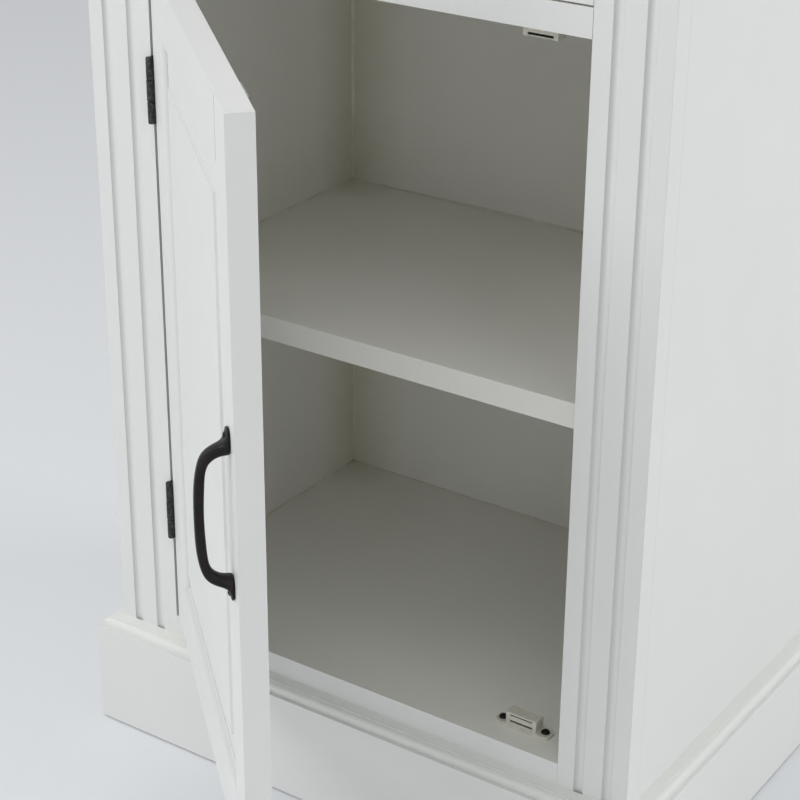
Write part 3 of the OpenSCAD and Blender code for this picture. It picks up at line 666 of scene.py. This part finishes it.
def endProfile():
    depth = catchSet["depth"]
    top = catchSet["height"]
    foot = catchSet["foot"]
    curve = catchSet["frontRound"]
    profile = [(0, foot), (0, top - curve)]
    for i in range(1, 5):
        angle = math.pi / 2 * i / 4
        profile.append((curve * (1 - math.cos(angle)), top - curve * (1 - math.sin(angle))))
    profile += [(depth - 1.2, top), (depth - 0.3, top - 0.4), (depth, top - 1.2), (depth, foot)]
    return profile


def flangeRing(height, drawnIn):
    radius = catchSet["flangeWidth"] / 2 - drawnIn
    straight = (catchSet["flangeLength"] - catchSet["flangeWidth"]) / 2
    sides = catchSet["flangeSides"]
    squareness = catchSet["endSquareness"]
    ring = []
    for i in range(sides + 1):
        angle = -math.pi / 2 + math.pi * i / sides
        ahead = radius * roundPower(math.cos(angle), squareness)
        ring.append((straight + ahead, radius * roundPower(math.sin(angle), squareness)))
    ring += [(-x, -y) for x, y in ring]
    return [Vector((x, y + catchSet["depth"] / 2, height)) * mm for x, y in ring]


def makeCatch(name, place, node):
    inner = catchSet["halfSlot"]
    outer = catchSet["halfBody"]
    over = catchSet["slotOverlap"]
    skins = [
        skinRings([flangeRing(*step) for step in catchSet["flangeSteps"]]),
        extrudeAcross(slottedProfile(catchSet["slots"][name]), -inner - over, inner + over),
        extrudeAcross(endProfile(), inner, outer),
        extrudeAcross(endProfile(), -outer, -inner),
    ]
    verts, faces = joinSkins(skins)
    piece = addPiece(name, verts, faces, catchPlastic, place, "case", "catch_plastic", node)
    soften(piece, catchSet["edge"] * mm, catchSet["edgeAngle"])


def catchPlace(low, high, height):
    return Matrix.Translation(((low[0] + high[0]) / 2, low[1] + catchSet["fromFront"] * mm, height))


low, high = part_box("lower_catch_body")
standing = catchPlace(low, high, low[2])
makeCatch("lower_catch_moulding", standing, "lower_catch_body")
low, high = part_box("upper_catch_body")
hanging = catchPlace(low, high, high[2]) @ Matrix.Scale(-1, 4, (0, 0, 1))
makeCatch("upper_catch_moulding", hanging, "upper_catch_body")


# heads of the catches' screws: low domes with a pressed cross, in mm
headSet = {
    "apart": 40.6,
    "level": 3.0,
    # (distance from the middle, height, share of the cross)
    "rings": [(3.7, 0.0, 0), (3.7, 0.5, 0), (3.5, 1.0, 0), (3.1, 1.5, 0), (2.6, 1.85, 0.15),
              (2.0, 2.0, 0.6), (1.5, 2.05, 0.9), (0.9, 2.1, 1), (0.3, 2.1, 1)],
    "crossDepth": 1.1,
    "crossArms": (1.6, 0.6),    # how sharply the four arms rise, and how far apart they stand
    "shank": (1.4, -8.0),
    "sides": 32,
}


def screwHead():
    rings = []
    radius, bottom = headSet["shank"]
    rise, gap = headSet["crossArms"]
    for far, height, cross in [(radius, bottom, 0), (radius, -0.2, 0)] + headSet["rings"]:
        ring = []
        for i in range(headSet["sides"]):
            angle = 2 * math.pi * i / headSet["sides"]
            arm = max(0.0, abs(math.cos(2 * angle)) * rise - gap)
            cut = cross * max(arm, 1 if far < 1 else 0) * headSet["crossDepth"]
            ring.append(Vector((far * math.cos(angle), far * math.sin(angle), height - cut)) * mm)
        rings.append(ring)
    return skinRings(rings)


def makeScrewHeads():
    skins = []
    for place in (standing, hanging):
        for side in (-1, 1):
            spot = Vector((side * headSet["apart"] / 2, catchSet["depth"] / 2, headSet["level"])) * mm
            verts, faces = screwHead()
            skins.append(([place @ (vert + spot) for vert in verts], faces))
    verts, faces = joinSkins(skins)
    addPiece("catch_screw_heads", verts, faces, screwIron, unmoved, "case", "black_iron", "catch_screws")


makeScrewHeads()
print("catches done")


# dark hairlines where a rail meets a stile, painted shade of the joint's gap, in mm: (width, how far behind the
# face)
seamSet = {
    "tone": (0.10, 0.10, 0.095),
    "paler": 2.5,          # the palest spots, as times the tone
    "cloudScale": 90.0,
    "roughness": 0.8,
    "rails": {"middle_rail": (0.50, 0.05), "drawer_rail": (0.35, 0.05), "top_rail": (0.30, 0.05),
              "bottom_rail": (0.24, 0.10)},
    "doorTop": (0.70, -0.03),
    "thickness": 0.4,
    "frameInset": 0.4,     # from the ends of the joint
    "doorInset": 0.6,
    "overPlinth": 12,      # the bottom rail's hairline starts this far over the plinth
    "faceWithin": 0.05,    # points nearer than this to the front belong to the face
}


def makeSeamShade():
    mat, tree, shader = newMaterial("seamShadePaint")
    coords = objectCoords(tree)
    cloud = noiseNode(tree, coords, seamSet["cloudScale"], 3.0, 0.5)
    light = tuple(value * seamSet["paler"] for value in seamSet["tone"])
    tone = rampNode(tree, cloud, [(0.35, seamSet["tone"]), (0.75, light)])
    tree.links.new(tone, shader.inputs["Base Color"])
    shader.inputs["Roughness"].default_value = seamSet["roughness"]
    return mat


seamShadePaint = makeSeamShade()


def seamBox(x, width, y, z0, z1):
    low = (x - width / 2, y, z0)
    high = (x + width / 2, y + seamSet["thickness"] * mm, z1)
    rings = []
    for z in (low[2], high[2]):
        rings.append([Vector((low[0], low[1], z)), Vector((high[0], low[1], z)),
                      Vector((high[0], high[1], z)), Vector((low[0], high[1], z))])
    return skinRings(rings)


def makeFrameSeams():
    inset = seamSet["frameInset"] * mm
    skins = []
    for name, (width, back) in seamSet["rails"].items():
        low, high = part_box(name)
        start = low[2]
        if name == "bottom_rail":
            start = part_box("right_plinth")[1][2] + seamSet["overPlinth"] * mm
        for x in (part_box("left_stile")[1][0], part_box("right_stile")[0][0]):
            skins.append(seamBox(x, width * mm, back * mm, start + inset, high[2] - inset))
    verts, faces = joinSkins(skins)
    addPiece("frame_seams", verts, faces, seamShadePaint, unmoved, "case", "painted_wood")


def makeDoorSeam():
    within = seamSet["faceWithin"] * mm
    rail = closedPoints("door_top_rail")
    x = min(point[0] for point in closedPoints("door_lock_stile") if point[1] < within)
    high = max(point[2] for point in rail)
    low = min(point[2] for point in rail if point[1] < within)
    width, behind = seamSet["doorTop"]
    verts, faces = seamBox(x, width * mm, behind * mm, low, high - seamSet["doorInset"] * mm)
    addPiece("door_top_seam", verts, faces, seamShadePaint, doorOpen, "door", "painted_wood")


makeFrameSeams()
makeDoorSeam()
print("seams done")


# worn knuckles over the hinges' barrels, with a groove where one meets the next, in mm
knuckleSet = {
    "start": 0.1,             # over the leaf's foot
    "length": 18.1,
    "pitch": 18.4,
    "radius": (3.1, 3.2, 3.05),
    "round": 0.7,
    "ahead": (0.1, -0.1),     # off the pin: 0.1 to the right and 0.1 to the front
    "sides": 32,
    "wear": 0.10,
}


def knuckleSkin(middle, bottom, radius):
    edge = knuckleSet["round"]
    high = knuckleSet["length"]
    levels = [(0, edge), (edge * 0.35, edge * 0.3), (edge, 0)]
    levels += [(high * share, 0) for share in (0.2, 0.35, 0.5, 0.65, 0.8)]
    levels += [(high - edge, 0), (high - edge * 0.35, edge * 0.3), (high, edge)]
    rings = []
    for z, drawnIn in levels:
        ring = []
        for i in range(knuckleSet["sides"]):
            angle = 2 * math.pi * i / knuckleSet["sides"]
            far = radius - drawnIn - random.uniform(0, knuckleSet["wear"])
            ring.append(middle + Vector((far * math.cos(angle), far * math.sin(angle), bottom + z)) * mm)
        rings.append(ring)
    return skinRings(rings)


# the middle knuckle belongs to the door, the outer two to the case
def makeKnuckles():
    pin = doorHinge["pos_m"]
    middle = Vector((pin[0], pin[1], 0)) + Vector((*knuckleSet["ahead"], 0)) * mm
    for which in ("lower", "upper"):
        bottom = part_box(which + "_hinge_frame_leaf")[0][2] / mm
        skins = []
        for i, radius in enumerate(knuckleSet["radius"]):
            foot = bottom + i * knuckleSet["pitch"] + knuckleSet["start"]
            skins.append(knuckleSkin(middle, foot, radius))
        outer = joinSkins([skins[0], skins[2]])
        addPiece(which + "_hinge_outer_knuckles", *outer, hingeIron, unmoved, "case", "black_iron")
        addPiece(which + "_hinge_middle_knuckle", *skins[1], hingeIron, unmoved, "door", "black_iron")


makeKnuckles()
print("knuckles done")


# filler run along the inner corners by finger, uneven in width
fillerSet = {
    "leg": 1.7,
    "least": 0.9,
    "most": 2.6,
    "spread": 0.8,
    "step": 9.0,
    "sunk": 0.25,
    "tip": (0.92, 0.06),    # share of the leg, and height there in mm
    "hollow": 0.34,         # share of both legs at the middle of the hollow
    "tone": (0.78, 0.77, 0.69),
    "toneLow": (0.67, 0.655, 0.55),
    "cloudScale": 60.0,
    "lumpScale": 260.0,
}


def makeFillerPaint():
    mat, tree, shader = newMaterial("fillerPaint")
    coords = objectCoords(tree)
    cloud = noiseNode(tree, coords, fillerSet["cloudScale"], 5.0, 0.65)
    tone = rampNode(tree, cloud, [(0.38, fillerSet["toneLow"]), (0.62, fillerSet["tone"])])
    finishPaint(tree, shader, coords, tone)
    lump = noiseNode(tree, coords, fillerSet["lumpScale"], 3.0, 0.5)
    tree.links.new(bumpNode(tree, lump, 0.35, 0.0006), shader.inputs["Normal"])
    return mat


fillerPaint = makeFillerPaint()


def nextLeg(leg):
    leg += random.uniform(-1, 1) * fillerSet["spread"] * 0.5
    return min(fillerSet["most"], max(fillerSet["least"], leg))


def fillerBead(start, end, first, second):
    start, end, first, second = (Vector(v) for v in (start, end, first, second))
    length = (end - start).length
    count = max(2, int(length / (fillerSet["step"] * mm)))
    sunk = -fillerSet["sunk"] * mm
    tip = fillerSet["tip"][0]
    thin = fillerSet["tip"][1] * mm
    hollow = fillerSet["hollow"]
    legs = [fillerSet["leg"], fillerSet["leg"]]
    rings = []
    for i in range(count + 1):
        legs = [nextLeg(leg) for leg in legs]
        a = legs[0] * mm
        b = legs[1] * mm
        middle = start + (end - start) * i / count
        shape = [(sunk, sunk), (a, sunk), (a * tip, thin), (a * hollow, b * hollow),
                 (thin, b * tip), (sunk, b)]
        rings.append([middle + first * u + second * v for u, v in shape])
    return skinRings(rings)


def makeFiller():
    shelfLow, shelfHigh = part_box("shelf")
    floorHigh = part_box("bottom_panel")[1]
    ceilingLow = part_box("divider_panel")[0]
    rooms = {
        "upper_filler": (shelfHigh[2], ceilingLow[2], shelfLow[1]),
        "lower_filler": (floorHigh[2], shelfLow[2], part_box("right_stile")[1][1]),
    }
    up = (0, 0, 1)
    right = (1, 0, 0)
    left = (-1, 0, 0)
    front = (0, -1, 0)
    for name, (floor, ceiling, mouth) in rooms.items():
        beads = [
            fillerBead((innerLeft, innerBack, floor), (innerRight, innerBack, floor), front, up),
            fillerBead((innerLeft, mouth, floor), (innerLeft, innerBack, floor), right, up),
            fillerBead((innerRight, mouth, floor), (innerRight, innerBack, floor), left, up),
            fillerBead((innerLeft, innerBack, floor), (innerLeft, innerBack, ceiling), right, front),
            fillerBead((innerRight, innerBack, floor), (innerRight, innerBack, ceiling), left, front),
        ]
        verts, faces = joinSkins(beads)
        addPiece(name, verts, faces, fillerPaint, unmoved, "case", "painted_wood")


makeFiller()
print("filler done")


# floor, world and lamps

stageSet = {
    "floorColour": (0.82, 0.84, 0.86),
    "floorSize": 14.0,
    "floorRoughness": 0.9,
    "ambient": 0.24,
    "roomColour": (0.985, 0.99, 1.0),
    # the room is brighter towards these sides: (direction, sharpness, strength)
    "brighter": [
        ((-1, 0, 0), 1.5, 0.50),
        ((0, 0, 1), 1.5, 0.38),
    ],
}


def makeFloor():
    mesh = bpy.data.meshes.new("floor")
    half = stageSet["floorSize"] / 2
    corners = [(-half, -half, 0), (half, -half, 0), (half, half, 0), (-half, half, 0)]
    mesh.from_pydata(corners, [], [(0, 1, 2, 3)])
    floor = bpy.data.objects.new("floor", mesh)
    scene.collection.objects.link(floor)
    mat, _, shader = newMaterial("floorPaper")
    shader.inputs["Base Color"].default_value = (*stageSet["floorColour"], 1)
    shader.inputs["Roughness"].default_value = stageSet["floorRoughness"]
    mesh.materials.append(mat)


def makeWorld():
    world = bpy.data.worlds.new("studio")
    scene.world = world
    world.use_nodes = True
    tree = world.node_tree
    tree.nodes.clear()
    path = tree.nodes.new("ShaderNodeLightPath")
    shiny = mathNode(tree, "MAXIMUM", path.outputs["Is Glossy Ray"], path.outputs["Is Transmission Ray"])
    seen = mathNode(tree, "MAXIMUM", path.outputs["Is Camera Ray"], shiny)
    white = tree.nodes.new("ShaderNodeBackground")
    white.inputs["Color"].default_value = (1, 1, 1, 1)
    white.inputs["Strength"].default_value = 1
    room = tree.nodes.new("ShaderNodeBackground")
    room.inputs["Color"].default_value = (*stageSet["roomColour"], 1)
    way = tree.nodes.new("ShaderNodeTexCoord").outputs["Generated"]
    total = stageSet["ambient"]
    for axis, sharpness, strength in stageSet["brighter"]:
        facing = tree.nodes.new("ShaderNodeVectorMath")
        facing.operation = "DOT_PRODUCT"
        facing.inputs[1].default_value = axis
        tree.links.new(way, facing.inputs[0])
        lobe = mathNode(tree, "POWER", mathNode(tree, "MAXIMUM", facing.outputs["Value"], 0.0), sharpness)
        total = mathNode(tree, "ADD", mathNode(tree, "MULTIPLY", lobe, strength), total)
    tree.links.new(total, room.inputs["Strength"])
    mix = tree.nodes.new("ShaderNodeMixShader")
    out = tree.nodes.new("ShaderNodeOutputWorld")
    tree.links.new(seen, mix.inputs[0])
    tree.links.new(room.outputs[0], mix.inputs[1])
    tree.links.new(white.outputs[0], mix.inputs[2])
    tree.links.new(mix.outputs[0], out.inputs["Surface"])


lampSet = {
    "leftHigh": {"place": (-1.6, -2.2, 2.6), "aim": (0, 0, 0.6), "size": 1.4, "power": 27},
    "frontLow": {"place": (-0.5, -2.6, 0.5), "aim": (0, 0, 0.3), "size": 0.8, "power": 5.2},
    "rightBox": {"place": (2.85, 1.5, 1.4), "aim": (0, 0, 0.6), "size": 1.8, "power": 36},
    "rightGraze": {"place": (3.0, -0.7, 0.7), "aim": (0, 0, 0.4), "size": 1.4, "power": 3},
    "lowRight": {"place": (1.3, -2.0, 0.3), "aim": (0, 0, 0.4), "size": 0.9, "power": 3.2},
    "topBox": {"place": (0.1, -1.2, 3.4), "aim": (0, 0, 0.6), "size": 2.2, "power": 13},
}


def makeLamps():
    for name, lamp in lampSet.items():
        data = bpy.data.lights.new(name, "AREA")
        data.shape = "SQUARE"
        data.size = lamp["size"]
        data.energy = lamp["power"]
        obj = bpy.data.objects.new(name, data)
        scene.collection.objects.link(obj)
        place = Vector(lamp["place"])
        away = place - Vector(lamp["aim"])
        obj.matrix_world = Matrix.Translation(place) @ away.to_track_quat("Z", "Y").to_matrix().to_4x4()


makeFloor()
makeWorld()
makeLamps()
scene.view_settings.view_transform = "Standard"
print("stage and lamps done")
